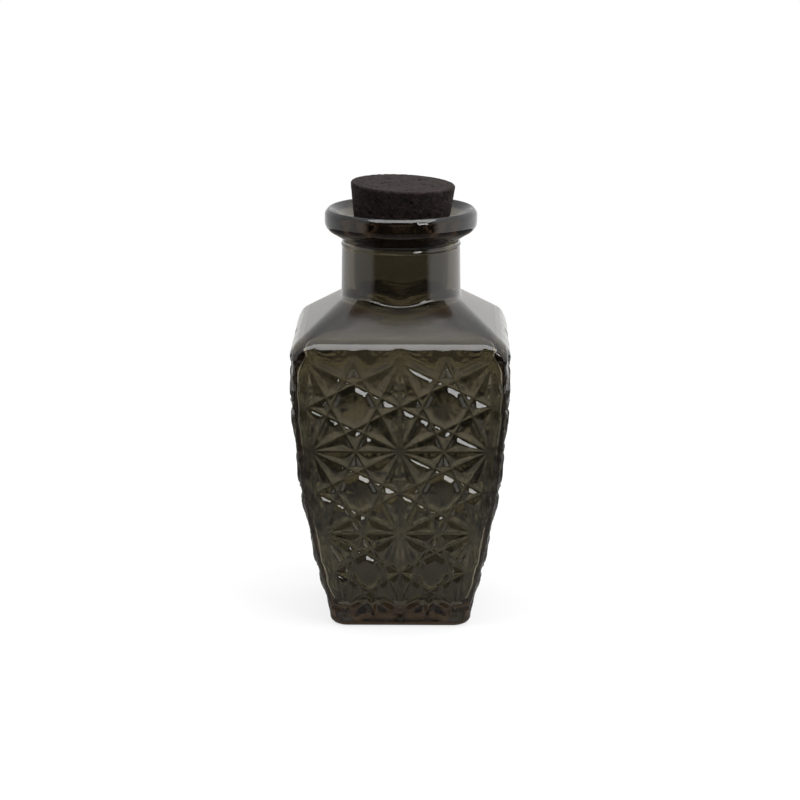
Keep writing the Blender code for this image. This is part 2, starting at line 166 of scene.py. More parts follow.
# Cork, measured from its seat
CORK_STAND = 15.9 * MM
CORK_DEPTH = 5.5 * MM
CORK_TAPER_SHARE = 0.1325
CORK_EDGE_RADIUS = 0.7 * MM
SEAT_CLEARANCE = 0.45 * MM
PIT_DEPTH = 0.7 * MM
PIT_SPACING = 1.2 * MM
PIT_SHARES = (0.42, 0.66)
CORK_UNEVEN = 0.08 * MM
CORK_GRAIN = 1.1 * MM
CORK_GRAIN_OFFSET = Vector((7, 7, 7))

# Steps of the meshes
ARC_STEPS = 5
LATHE_STEPS = 8
CORNER_STEPS = 10
SLOPE_STEPS = 7
SLOPE_HALVINGS = 26
WALL_STEPS = 14
CORK_ROUND_STEPS = 180
CORK_SIDE_STEPS = 48
CORK_TOP_STEPS = 34
FLOOR_STEPS = 96

# Look of the glass; where there are two numbers, the second is for the shoulder
GLASS_TINT = (0.288, 0.269, 0.198, 1.0)
GLASS_IOR = 1.5
GLASS_ROUGHNESS = (0.015, 0.19)
GLASS_WAVE_DEPTHS = (0.018 * MM, 0.045 * MM)
GLASS_WAVE_SCALE = 300.0
GLASS_WAVE_DETAIL = 1.0
SHOULDER_SOFT = 1.0 * MM
SMOKE_COLOR = (0.30, 0.14, 0.0, 1.0)
SMOKE_DENSITY = 50.0

# Look of the cork: brown grains, multiplied by dark flecks and a few pale specks
CORK_ROUGHNESS = 0.85
CORK_SPECULAR = 0.18
GRAIN_SCALE = 520.0
GRAIN_STOPS = ((0.0, (0.0085, 0.0055, 0.0048, 1.0)), (1.0, (0.028, 0.018, 0.0158, 1.0)))
FLECK_SCALE = 1500.0
FLECK_DETAIL = 3.0
FLECK_STOPS = ((0.36, (0.18, 0.18, 0.18, 1.0)), (0.52, WHITE),
               (0.70, WHITE), (0.76, (4.0, 3.7, 3.5, 1.0)))
FLECK_DEPTH = 0.12 * MM
FLECK_STRENGTH = 0.7

# Floor: how much of its white is its own light, and the painted shade that darkens its colour
# in reflections, more so farther from the bottle, at distances from the bottle in m
FLOOR_RADIUS = 0.40
FLOOR_COLOR = (0.8, 0.8, 0.8, 1.0)
FLOOR_LIT_SHARE = 0.75
FLOOR_PAINTED_SHADE_REACH = (0.06, 0.22)
FLOOR_PAINTED_SHADE_TONES = (0.24, 0.10)
# How bright the floor looks through the glass: painted light and shade, rings in which it glows,
# at distances from the bottle in m
FLOOR_PAINTED_GLOW_TONES = ((0.025, 0.27), (0.055, 0.9), (0.08, 0.6), (0.10, 0.06), (0.16, 0.06), (0.22, 0.36))
# How bright the backdrop looks through the glass, at elevations in degrees
BACKDROP_TONES = ((-12, 0.33), (-5, 1.0), (8, 1.0), (35, 0.3))

# Light of the studio, by directions from the bottle: its front is dark and open, its walls
# get brighter from left to right, and its ceiling adds to them
FRONT_AZIMUTHS = (math.radians(-55), math.radians(56))
FRONT_SOFT = math.radians(14)
FRONT_TOP = math.sin(math.radians(62))
FRONT_TOP_SOFT = 0.2
FRONT_DARK_SHARE = 0.96
WALLS_REACH = (-0.2, 0.9)
WALLS_LEVELS = (0.8, 1.3)
CEILING_REACH = (0.7, 0.9)
CEILING_LEVELS = (0.0, 0.68)

# Lamps: azimuth and elevation in degrees, width and height in m, brightness of the face
LAMPS = {"key": (35, 31, 0.28, 0.50, 8.5), "top": (5, 73, 1.5, 0.70, 4.5)}
LAMP_DISTANCE = 1.2
LAMP_AIM = Vector((0, 0, 0.08))

# Camera, which looks down on the bottle from the front
CAMERA_DISTANCE = 0.900
CAMERA_HEIGHT = 0.29735
CAMERA_PITCH = math.radians(13.78)
CAMERA_AZIMUTH = math.radians(0.7)
CAMERA_ASIDE = -0.00036
CAMERA_LENS = 117.1
SENSOR = 36.0


def rounded(before, corner, after, radius, steps=ARC_STEPS):
    """Points of the arc that rounds a corner of an outline, from its start to its end."""
    back = (Vector(before) - Vector(corner)).normalized()
    onward = (Vector(after) - Vector(corner)).normalized()
    half_angle = back.angle(onward) / 2
    centre = Vector(corner) + (back + onward).normalized() * radius / math.sin(half_angle)
    first = Vector(corner) + back * radius / math.tan(half_angle) - centre
    last = Vector(corner) + onward * radius / math.tan(half_angle) - centre
    sweep = first.angle(last)
    points = []
    for step in range(steps + 1):
        passed = sweep * step / steps
        arm = first * math.sin(sweep - passed) + last * math.sin(passed)
        points.append(centre + arm / math.sin(sweep))
    return points


def smooth_step(start, end, value):
    share = min(max((value - start) / (end - start), 0.0), 1.0)
    return share * share * (3 - 2 * share)


def mix(first, second, share):
    return first + (second - first) * share


# Shape of the body

def half_width(height):
    """Half width of the sides at a height; the crown draws in above the widest place."""
    if height > WIDEST_HEIGHT:
        rise = (height - WIDEST_HEIGHT) / CROWN_HEIGHT
        return BODY_HALF_WIDTH - CROWN_DRAW * rise ** CROWN_POWER
    drop = (WIDEST_HEIGHT - height) / WIDEST_HEIGHT
    return BODY_HALF_WIDTH - (BODY_HALF_WIDTH - BASE_HALF_WIDTH) * drop ** TAPER_POWER


EDGE_HALF = half_width(EDGE_HEIGHT)


def wall_point(height, depth=0.0):
    """The outline of the sides at a height, or of a surface at a depth within them."""
    return Vector((half_width(height) - depth, height))


def slope_share(half):
    """How far up the sloping shoulder its plan has this half width."""
    return (EDGE_HALF - half) / (EDGE_HALF - NECK_BASE_RADIUS)


def plan_corner(half):
    return mix(CORNER_RADIUS, HIP_RADIUS, max(0.0, slope_share(half)))


def slope_half(across, out):
    """Half width of the shoulder's plan that passes through a place."""
    far, near = max(abs(across), abs(out)), min(abs(across), abs(out))
    low, high = NECK_BASE_RADIUS / 2, BODY_HALF_WIDTH
    for halving in range(SLOPE_HALVINGS):
        half = (low + high) / 2
        corner = plan_corner(half)
        flat = half - corner
        if near <= flat:
            outside = far > half
        else:
            outside = math.hypot(far - flat, near - flat) > corner
        if outside:
            low = half
        else:
            high = half
    return high


def on_side(side, across, out, height):
    """A place on one of the four sides: across it, out from the axis and up."""
    turn = side * QUARTER
    return Vector((across * math.cos(turn) + out * math.sin(turn),
                   across * math.sin(turn) - out * math.cos(turn), height))


# Shape of the relief; columns run across a side, and rows down it

def row_pitch(row):
    span = EDGE_HEIGHT - TOP_BAND - FOOT_BAND - FOOT_RADIUS
    return span * ROW_SHRINK_SHARE ** row / sum(ROW_SHRINK_SHARE ** each for each in range(ROWS))


PITCHES = [row_pitch(row) for row in range(ROWS)]
TOP_ROW = -(TOP_BAND - TOP_BAND_CLEAR) / PITCHES[0]
FOOT_ROW = ROWS + FOOT_BAND / PITCHES[-1]


def row_height(row):
    whole = max(0, min(ROWS - 1, math.floor(row)))
    return EDGE_HEIGHT - TOP_BAND - sum(PITCHES[:whole]) - (row - whole) * PITCHES[whole]


def profile(share):
    """Rise of a groove's wall at a distance from its bottom, both ends rounded."""
    if share < VALLEY_SHARE:
        return (share ** 2 + VALLEY_SHARE ** 2) / (2 * VALLEY_SHARE)
    if share < 1 - BRINK_SHARE:
        return share
    if share < 1 + BRINK_SHARE:
        return 1 - (1 + BRINK_SHARE - share) ** 2 / (4 * BRINK_SHARE)
    return 1.0


def with_hub(rise, column, row):
    """Every star's middle is a smooth shallow disc, in which the grooves end."""
    away = math.hypot(column - round(column), row - min(max(round(row), 0), ROWS))
    return mix(HUB_LEVEL_SHARE, rise, smooth_step(*HUB_REACH_SHARES, away))


def within_star(rise, column, row):
    """A star's rays are a little lower near its middle than the buttons round it."""
    away = math.hypot(column - round(column), row - round(row))
    return rise * mix(STAR_RISE_SHARE, 1, smooth_step(*STAR_REACH_SHARES, away))


def side_place(side, column, row, rise):
    """A place of a side's relief, on its surface where rise is 1."""
    height = row_height(row)
    half = half_width(height)
    across = (2 * column / COLUMNS - 1) * (half - CORNER_RADIUS)
    return on_side(side, across, half - (1 - rise) * GROOVE_DEPTH, height)


def corner_place(side, share, row, rise):
    """A place of the rounded corner at the right of a side, at a share of its turn."""
    height = row_height(row)
    flat = half_width(height) - CORNER_RADIUS
    radius = CORNER_RADIUS - (1 - rise) * GROOVE_DEPTH
    turn = share * QUARTER
    return on_side(side, flat + radius * math.sin(turn), flat + radius * math.cos(turn), height)


def segment_distance(place, start, end):
    along = end - start
    share = min(max((place - start).dot(along) / along.length_squared, 0.0), 1.0)
    return (place - start - along * share).length


def zigzag_distance(column, depth):
    """Distance to the outermost groove of a side, at a depth past its first row of hubs."""
    place = Vector((column - min(math.floor(column), COLUMNS - 1), depth))
    corners = [Vector(share) for share in ZIGZAG_SHARES]
    return min(segment_distance(place, *ends) for ends in zip(corners, corners[1:]))


def past_edge_distance(past, row):
    """Distance to the nearest groove just past the side's upright edge."""
    if row < 0 or row > ROWS:
        return math.hypot(past, -row if row < 0 else row - ROWS)
    down = row - min(math.floor(row), ROWS - 1)
    best = past
    for fall in (down, 1 - down):
        for gap in (past - 2 * fall, 2 * past - fall, 1 - past - 2 * fall):
            best = min(best, abs(gap) / GROOVE_SLANT)
    return best


# Facets of the relief

def incentre(shares):
    """Centre and radius of a facet's inscribed circle."""
    before, start, end, after = (Vector(shares[place]) for place in (-1, 0, 1, 2))
    along = (end - start).normalized()
    one = along + (before - start).normalized()
    other = (after - end).normalized() - along
    centre = start + one * (end - start).cross(other) / one.cross(other)
    return centre, abs(along.cross(centre - start))


def copies(shares, mirrored):
    """A facet's corners turned about the middle of the cell, and mirrored if asked."""
    middle = Vector((1 / 2, 1 / 2))
    images = []
    for flip in (False, True) if mirrored else (False,):
        for quarter in range(4):
            turn = Matrix.Rotation(quarter * QUARTER, 2)
            image = []
            for across, down in shares:
                corner = Vector((down, across) if flip else (across, down))
                place = middle + turn @ (corner - middle)
                image.append((round(place.x, SHARE_DIGITS), round(place.y, SHARE_DIGITS)))
            images.append(image)
    return images


def along_edge(start, end):
    """Places along a facet's edge, closer together near a star's middle."""
    start, end = Vector(start), Vector(end)
    length = (end - start).length
    if length < LONG_EDGE_FROM_SHARE:
        count = max(SHORT_LEAST_STEPS, round(length / SHORT_STEP_SHARE))
        shares = [step / count for step in range(count)]
    elif start.x in (0, 1) and start.y in (0, 1):
        shares = FROM_HUB_SHARES
    else:
        shares = TO_HUB_SHARES
    return [start.lerp(end, share) for share in shares]


def zigzag_places():
    """Places along the outermost groove of a side, from its left edge to its right."""
    places = []
    for column in range(COLUMNS):
        for start, end in zip(ZIGZAG_SHARES, ZIGZAG_SHARES[1:]):
            places += [(column + place.x, place.y) for place in along_edge(start, end)]
    return places + [(COLUMNS, 0)]


ZIGZAG = zigzag_places()


def edge_rows():
    """Rows of the vertices down a side's upright edge, from the top to the foot."""
    rows = [mix(0, TOP_ROW, share) for share in reversed(BAND_SHARES)]
    for row in range(ROWS):
        rows += [mix(row, row + 1 / 2, share) for share in FROM_HUB_SHARES]
        rows += [mix(row + 1 / 2, row + 1, share) for share in TO_HUB_SHARES]
    return rows + [ROWS] + [mix(ROWS, FOOT_ROW, share) for share in BAND_SHARES]


# Meshes

class Skin:
    """A closed skin of faces between rings of vertices."""

    def __init__(self):
        self.bm = bmesh.new()

    def ring(self, places):
        return [self.bm.verts.new(place) for place in places]

    def quads(self, first, second, closed=True):
        """Faces between two lines of as many vertices."""
        for place in range(0 if closed else 1, len(first)):
            corners = (first[place - 1], first[place], second[place], second[place - 1])
            self.bm.faces.new(corners)

    def extend(self, loop, rings):
        """Carry the skin on from a loop through rings of places; returns the last loop."""
        for places in rings:
            following = self.ring(places)
            self.quads(loop, following)
            loop = following
        return loop

    def cap(self, loop, place):
        """Close a loop with a fan of faces round a place."""
        centre = self.bm.verts.new(place)
        for index in range(len(loop)):
            self.bm.faces.new((loop[index - 1], loop[index], centre))

    def finished(self):
        bmesh.ops.recalc_face_normals(self.bm, faces=self.bm.faces)
        return self.bm


class PressedSkin(Skin):
    """The glass as one skin, whose facets, bands and corners share their vertices."""

    def __init__(self):
        super().__init__()
        self.known = {}

    def side_vertex(self, side, column, row, rise):
        """The vertex at a place of a side, made only once."""
        key = (side % SIDES, round(column, VERTEX_DIGITS), round(row, VERTEX_DIGITS))
        if key not in self.known:
            place = side_place(key[0], column, row, with_hub(rise, column, row))
            self.known[key] = self.bm.verts.new(place)
        return self.known[key]

    def facet(self, side, column, row, shares):
        """One raised facet: rings of vertices that follow its edges up to its middle."""
        centre, reach = incentre(shares)
        border = []
        for place, start in enumerate(shares):
            border += along_edge(start, shares[(place + 1) % len(shares)])
        loop = [self.side_vertex(side, column + at.x, row + at.y, profile(0)) for at in border]
        for share in RING_SHARES:
            scale = 1 - share * GROOVE_SHARE / reach
            if scale < LEAST_RING_SCALE:
                break
            ring = []
            for at in border:
                place = centre + (at - centre) * scale
                at_column, at_row = column + place.x, row + place.y
                rise = with_hub(within_star(profile(share), at_column, at_row), at_column, at_row)
                ring.append(side_place(side, at_column, at_row, rise))
            loop = self.extend(loop, [ring])
        rise = within_star(profile(reach / GROOVE_SHARE), column + centre.x, row + centre.y)
        self.cap(loop, side_place(side, column + centre.x, row + centre.y, rise))

    def cell(self, side, column, row):
        """The facets of a cell, but for the leaves that would lie in a plain band."""
        corners = copies((TIP_SHARES[2], TIP_SHARES[1]), mirrored=False)
        facets = [[corner for pair in corners for corner in pair]]
        facets += copies(SMALL_KITE_SHARES, mirrored=False)
        facets += copies(LARGE_KITE_SHARES, mirrored=False)
        facets += copies(TIP_SHARES, mirrored=True)
        for shares in copies(LEAF_SHARES, mirrored=True):
            downs = [down for across, down in shares]
            on_top = row == 0 and downs.count(0) == 2
            at_foot = row == ROWS - 1 and downs.count(1) == 2
            if not on_top and not at_foot:
                facets.append(shares)
        for shares in facets:
            self.facet(side, column, row, shares)

    def band(self, side, edge, limit, inward):
        """The plain band past a side's first or last row of stars; returns its last line.

        The edge is the row of the outermost hubs, from which rows count inward by 1 or -1.
        """
        line = [self.side_vertex(side, column, edge + inward * depth, profile(0))
                for column, depth in ZIGZAG]
        for share in BAND_SHARES:
            following = []
            for column, depth in ZIGZAG:
                row = mix(edge + inward * depth, limit, share)
                away = zigzag_distance(column, (row - edge) * inward)
                rise = profile(away / GROOVE_SHARE)
                rise = mix(rise, 1, smooth_step(*TOP_FADE_SHARES, -row))
                following.append(self.side_vertex(side, column, row, rise))
            self.quads(line, following, closed=False)
            line = following
        return line

    def corner(self, side, rows):
        """The rounded corner at the right of a side; returns its top's and its foot's vertices."""
        cell = (BODY_HALF_WIDTH - CORNER_RADIUS) * 2 / COLUMNS
        line = [self.side_vertex(side, COLUMNS, row, 1) for row in rows]
        top = []
        foot = []
        for step in range(1, CORNER_STEPS):
            turn = step / CORNER_STEPS
            past = min(turn, 1 - turn) * QUARTER * CORNER_RADIUS / cell
            following = []
            for row in rows:
                away = past_edge_distance(past, row)
                rise = with_hub(profile(away / GROOVE_SHARE), past, row)
                rise = mix(rise, 1, smooth_step(*CORNER_FADE_SHARES, past))
                following.append(self.bm.verts.new(corner_place(side, turn, row, rise)))
            self.quads(line, following, closed=False)
            line = following
            top.append(line[0])
            foot.append(line[-1])
        last = [self.side_vertex(side + 1, 0, row, 1) for row in rows]
        self.quads(line, last, closed=False)
        return top, foot

    def sides(self):
        """All four sides and corners; returns the closed loops at the top and the foot."""
        rows = edge_rows()
        top_lines = []
        foot_lines = []
        for side in range(SIDES):
            for column in range(COLUMNS):
                for row in range(ROWS):
                    self.cell(side, column, row)
            top_lines.append(self.band(side, edge=0, limit=TOP_ROW, inward=1))
            foot_lines.append(self.band(side, edge=ROWS, limit=FOOT_ROW, inward=-1))
        top = []
        foot = []
        for side in range(SIDES):
            corner_top, corner_foot = self.corner(side, rows)
            top += top_lines[side] + corner_top
            foot += foot_lines[side] + corner_foot
        return top, foot


def section(half, corner, height):
    """Places round a square plan with rounded corners, in line with those of the relief."""
    flat = half - corner
    places = []
    for side in range(SIDES):
        places += [on_side(side, (2 * column / COLUMNS - 1) * flat, half, height)
                   for column, depth in ZIGZAG]
        for step in range(1, CORNER_STEPS):
            turn = QUARTER * step / CORNER_STEPS
            across = flat + corner * math.sin(turn)
            out = flat + corner * math.cos(turn)
            places.append(on_side(side, across, out, height))
    return places


# Directions from the axis in which the vertices of the neck and the mouth lie
HEADINGS = [place.normalized() for place in section(EDGE_HALF, CORNER_RADIUS, 0)]


def round_ring(radius, height):
    return [heading * radius + Vector((0, 0, height)) for heading in HEADINGS]


def slope_place(heading, radius):
    """The place of the sloping shoulder at a distance from the axis."""
    at = heading * radius
    height = EDGE_HEIGHT + slope_share(slope_half(at.x, at.y)) * SHOULDER_RISE
    return Vector((at.x, at.y, height))


def shoulder_rings():
    """Rings from the shoulder's edge up the slope and round into the neck."""
    arc = rounded(wall_point(row_height(TOP_ROW)), wall_point(EDGE_HEIGHT),
                  (NECK_BASE_RADIUS, NECK_BASE_HEIGHT), EDGE_RADIUS)
    edge_rings = [section(half, plan_corner(half), height) for half, height in arc]
    lines = []
    for heading, *line in zip(HEADINGS, *edge_rings):
        foot, far = (Vector((radius, slope_place(heading, radius).z))
                     for radius in (NECK_BASE_RADIUS, NECK_BASE_RADIUS + 2 * NECK_FILLET))
        fillet = rounded(far, foot, (foot.x, foot.y + NECK_FILLET), NECK_FILLET)
        start = line[-1].to_2d().length
        for step in range(1, SLOPE_STEPS):
            line.append(slope_place(heading, mix(start, fillet[0].x, step / SLOPE_STEPS)))
        line += [heading * radius + Vector((0, 0, height)) for radius, height in fillet]
        lines.append(line)
    return zip(*lines)


def neck_outline():
    """The neck's and the lip's outer side, over the rim, the dished mouth and the bore."""
    low = Vector((NECK_BASE_RADIUS, NECK_BASE_HEIGHT))
    throat = Vector((NECK_TOP_RADIUS, LIP_BOTTOM_HEIGHT))
    under = Vector((LIP_RADIUS, LIP_BOTTOM_HEIGHT + LIP_FLARE_RISE))
    brow = Vector((LIP_RADIUS, LIP_TOP_HEIGHT - BROW_HEIGHT))
    rim = Vector((LIP_RADIUS - BROW_WIDTH, LIP_TOP_HEIGHT))
    mouth = Vector((LIP_RADIUS - RIM_WIDTH, LIP_TOP_HEIGHT))
    seat = Vector((BORE_RADIUS, SEAT_HEIGHT))
    root = Vector((BORE_RADIUS, NECK_BASE_HEIGHT + NECK_FILLET))
    seam_half = [(SEAM_WIDTH + SEAM_CLEAR, 0), (SEAM_WIDTH, 0), (SEAM_WIDTH / 2, SEAM_PROUD)]
    rings = [(height, 0) for height in NECK_RING_HEIGHTS]
    rings += [(SEAM_HEIGHT - reach, proud) for reach, proud in seam_half]
    rings += [(SEAM_HEIGHT + reach, proud) for reach, proud in reversed(seam_half)]
    outline = []
    for height, proud in rings:
        share = (height - low.y) / (throat.y - low.y)
        outline.append(low.lerp(throat, share) + Vector((proud, 0)))
    outline += rounded(low, throat, under, THROAT_FILLET, LATHE_STEPS)
    outline += rounded(throat, under, brow, LIP_UNDER_RADIUS, LATHE_STEPS)
    outline += rounded(under, brow, rim, BROW_RADIUS, LATHE_STEPS)
    outline += rounded(brow, rim, mouth, CREST_RADIUS)
    outline += rounded(rim, mouth, seat, MOUTH_EDGE_RADIUS)
    outline += [mouth.lerp(seat, share) for share in DISH_RING_SHARES]
    outline += rounded(mouth, seat, root, DISH_FOOT_RADIUS)
    return outline + [seat.lerp(root, share) for share in BORE_RING_SHARES]


def hollow_outline():
    """Half widths and heights of the hollow, from the bore out and down to its floor."""
    bore = Vector((BORE_RADIUS, LIP_BOTTOM_HEIGHT))
    ceiling = Vector((BORE_RADIUS, CEILING_HEIGHT))
    eaves = wall_point(EDGE_HEIGHT) - Vector((WALL, WALL / 2))
    outline = rounded(bore, ceiling, eaves, CEILING_FILLET)
    outline += [ceiling.lerp(eaves, share) for share in CEILING_RING_SHARES]
    outline += rounded(ceiling, eaves, wall_point(WIDEST_HEIGHT, WALL), EAVES_FILLET)
    start = outline[-1].y
    for step in range(1, WALL_STEPS + 1):
        outline.append(wall_point(mix(start, WALL_FOOT_HEIGHT, step / WALL_STEPS), WALL))
    foot = wall_point(FLOOR_HEIGHT, WALL)
    return outline + rounded(outline[-1], foot, (0, FLOOR_HEIGHT), HOLLOW_FLOOR_RADIUS)


def rippled(place):
    """A place of the body's hollow moved a little in or out, as blown glass is never even."""
    within_body = smooth_step(WIDEST_HEIGHT, WIDEST_HEIGHT - RIPPLE_LENGTH, place.z)
    shift = noise.noise(place / RIPPLE_LENGTH) * RIPPLE * within_body
    return place + Vector((place.x, place.y, 0)).normalized() * shift


def hollow_rings():
    """Rings of the hollow, which goes from round in the bore to square in the body."""
    rings = []
    for half, height in hollow_outline():
        square = smooth_step(BORE_RADIUS, EDGE_HALF - WALL - EAVES_FILLET, half)
        if height < SQUARE_BELOW_HEIGHT:
            square = 1
        roundest = half * HOLLOW_ROUND_SHARE
        corner = min(mix(roundest, HOLLOW_CORNER_RADIUS, square), roundest)
        ring = section(half, corner, height) if square else round_ring(half, height)
        rings.append([rippled(place) for place in ring])
    return rings


def foot_rings():
    """Rings from the lowest relief round the foot's edge, over the bearing to the push-up."""
    base = half_width(FOOT_RADIUS)
    rings = []
    for step in range(1, ARC_STEPS + 1):
        turn = QUARTER * step / ARC_STEPS
        inward = FOOT_RADIUS * (1 - math.cos(turn))
        rings.append((base - inward, CORNER_RADIUS - inward, FOOT_RADIUS * (1 - math.sin(turn))))
    inner = base - FOOT_RADIUS - BEARING_WIDTH
    rings.append((inner, CORNER_RADIUS, 0))
    rings.append((inner - PUSH_UP, CORNER_RADIUS, PUSH_UP / 2))
    rings.append((inner - 2 * PUSH_UP, CORNER_RADIUS, PUSH_UP))
    rings.append((inner / 2, CORNER_RADIUS, PUSH_UP))
    return [section(*ring) for ring in rings]


def bottle_mesh():
    """The glass: sides, shoulder, neck, lip and bore down to the hollow's floor, and the foot."""
    skin = PressedSkin()
    top, foot = skin.sides()
    loop = skin.extend(top, shoulder_rings())
    loop = skin.extend(loop, [round_ring(*point) for point in neck_outline()])
    loop = skin.extend(loop, hollow_rings())
    for share in FLOOR_RING_SHARES:
        ring = [(vertex.co.x * share, vertex.co.y * share, FLOOR_HEIGHT) for vertex in loop]
        loop = skin.extend(loop, [ring])
    skin.cap(loop, (0, 0, FLOOR_HEIGHT))
    loop = skin.extend(foot, foot_rings())
    skin.cap(loop, (0, 0, PUSH_UP))
    return skin.finished()


def worn(place, normal):
    """A place of the cork's skin with the pits and the unevenness of its grains."""
    pit = smooth_step(*PIT_SHARES, noise.noise(place / PIT_SPACING))
    grain = noise.noise(place / CORK_GRAIN + CORK_GRAIN_OFFSET)
    return place - normal * (PIT_DEPTH * pit + CORK_UNEVEN * grain)


def cork_outline():
    """Radii and heights of the cork over its seat, from beside its top's middle to its tip."""
    seat = BORE_RADIUS - SEAT_CLEARANCE
    axis_top = Vector((0, CORK_STAND))
    top = Vector((seat + CORK_TAPER_SHARE * CORK_STAND, CORK_STAND))
    tip = Vector((seat - CORK_TAPER_SHARE * CORK_DEPTH, -CORK_DEPTH))
    upper = rounded(axis_top, top, tip, CORK_EDGE_RADIUS)
    lower = rounded(top, tip, (0, -CORK_DEPTH), CORK_EDGE_RADIUS)
    across = [axis_top.lerp(upper[0], step / CORK_TOP_STEPS) for step in range(1, CORK_TOP_STEPS)]
    down = [upper[-1].lerp(lower[0], step / CORK_SIDE_STEPS) for step in range(1, CORK_SIDE_STEPS)]
    return across + upper + down + lower


def cork_rings():
    """Rings of the cork's skin, worn along the normal of its outline."""
    outline = cork_outline()
    befores = outline[:1] + outline[:-1]
    afters = outline[1:] + outline[-1:]
    rings = []
    for before, (radius, height), after in zip(befores, outline, afters):
        along = after - before
        normal = Vector((-along.y, along.x)).normalized()
        ring = []
        for step in range(CORK_ROUND_STEPS):
            turn = 2 * math.pi * step / CORK_ROUND_STEPS
            heading = Vector((math.cos(turn), math.sin(turn), 0))
            place = heading * radius + Vector((0, 0, height))
            ring.append(worn(place, heading * normal.x + Vector((0, 0, normal.y))))
        rings.append(ring)
    return rings


def cork_mesh():
    """The tapered cork about the middle of its seat."""
    skin = Skin()
    rings = cork_rings()
    loop = skin.ring(rings[0])
    skin.cap(loop, (0, 0, CORK_STAND))
    loop = skin.extend(loop, rings[1:])
    skin.cap(loop, (0, 0, -CORK_DEPTH))
    return skin.finished()


def new_object(bm, name, material):
    mesh = bpy.data.meshes.new(name)
    bm.to_mesh(mesh)
    bm.free()
    mesh.shade_smooth()
    mesh.materials.append(material)
    item = bpy.data.objects.new(name, mesh)
    bpy.context.scene.collection.objects.link(item)
    return item


# Materials

def grey(tone):
    return (tone, tone, tone, 1.0)


class Tree:
    """The node tree of a material or of the world, with short ways to add to it."""

    def __init__(self, owner):
        owner.use_nodes = True
        self.nodes = owner.node_tree.nodes
        self.links = owner.node_tree.links

    def fill(self, node, inputs):
        """Set each input of a node to a value, or link it to a socket; returns the node."""
        for name, value in inputs.items():
            if isinstance(value, bpy.types.NodeSocket):
                self.links.new(value, node.inputs[name])
            else:
                node.inputs[name].default_value = value
        return node

    def add(self, kind, inputs):
        return self.fill(self.nodes.new(kind), inputs)

    def coordinates(self, kind):
        return self.add("ShaderNodeTexCoord", {}).outputs[kind]

    def parts(self, vector):
        """The sockets X, Y and Z of a vector."""
        return self.add("ShaderNodeSeparateXYZ", {"Vector": vector}).outputs

    def math(self, operation, *values):
        node = self.nodes.new("ShaderNodeMath")
        node.operation = operation
        return self.fill(node, dict(enumerate(values))).outputs["Value"]

    def mix(self, factor, first, second):
        node = self.add("ShaderNodeMix", {"Factor": factor, "A": first, "B": second})
        return node.outputs["Result"]

    def multiply_colors(self, first, second):
        node = self.nodes.new("ShaderNodeMix")
        node.data_type = "RGBA"
        node.blend_type = "MULTIPLY"
        # A Mix node's sockets for colours have the same names as those for numbers before them
        self.fill(node, {"Factor": 1.0, 6: first, 7: second})
        return node.outputs[2]

    def diffuse(self, color):
        return self.add("ShaderNodeBsdfDiffuse", {"Color": color}).outputs["BSDF"]

    def emission(self, strength):
        return self.add("ShaderNodeEmission", {"Strength": strength}).outputs["Emission"]

    def mix_shaders(self, factor, first, second):
        return self.add("ShaderNodeMixShader", {0: factor, 1: first, 2: second}).outputs["Shader"]

    def map_range(self, value, source, target=(0.0, 1.0), kind="SMOOTHSTEP"):
        """A value that goes from one end of the target to the other within the source."""
        node = self.add("ShaderNodeMapRange", {
            "Value": value, "From Min": source[0], "From Max": source[1],
            "To Min": target[0], "To Max": target[1]})
        node.interpolation_type = kind
        return node.outputs["Result"]

    def window(self, value, low, high, soft):
        """1 where the value lies between two limits, with soft borders."""
        above = self.map_range(value, (low - soft / 2, low + soft / 2))
        below = self.map_range(value, (high + soft / 2, high - soft / 2))
        return self.math("MULTIPLY", above, below)

    def ramp(self, value, stops):
        """A colour that runs evenly from stop to stop of a value between 0 and 1."""
        node = self.add("ShaderNodeValToRGB", {"Fac": value})
        elements = node.color_ramp.elements
        present = len(elements)
        for place, (position, color) in enumerate(stops):
            element = elements[place] if place < present else elements.new(position)
            element.position = position
            element.color = color
        return node.outputs["Color"]


def glass_material():
    """Smoked glass with a faint unevenness from the mould, most of it on the shoulder."""
    material = bpy.data.materials.new("smoked_glass")
    tree = Tree(material)
    place = tree.coordinates("Object")
    shoulder = tree.window(tree.parts(place)["Z"], EDGE_HEIGHT + SHOULDER_SOFT,
                           NECK_BASE_HEIGHT, SHOULDER_SOFT)
    waves = tree.add("ShaderNodeTexNoise", {
        "Vector": place, "Scale": GLASS_WAVE_SCALE, "Detail": GLASS_WAVE_DETAIL})
    uneven = tree.add("ShaderNodeBump", {
        "Height": waves.outputs["Fac"], "Distance": tree.mix(shoulder, *GLASS_WAVE_DEPTHS)})
    tree.fill(tree.nodes["Principled BSDF"], {
        "Base Color": GLASS_TINT, "IOR": GLASS_IOR, "Transmission Weight": 1.0,
        "Roughness": tree.mix(shoulder, *GLASS_ROUGHNESS), "Normal": uneven.outputs["Normal"]})
    smoke = tree.add("ShaderNodeVolumeAbsorption", {
        "Color": SMOKE_COLOR, "Density": SMOKE_DENSITY})
    tree.fill(tree.nodes["Material Output"], {"Volume": smoke.outputs["Volume"]})
    return material


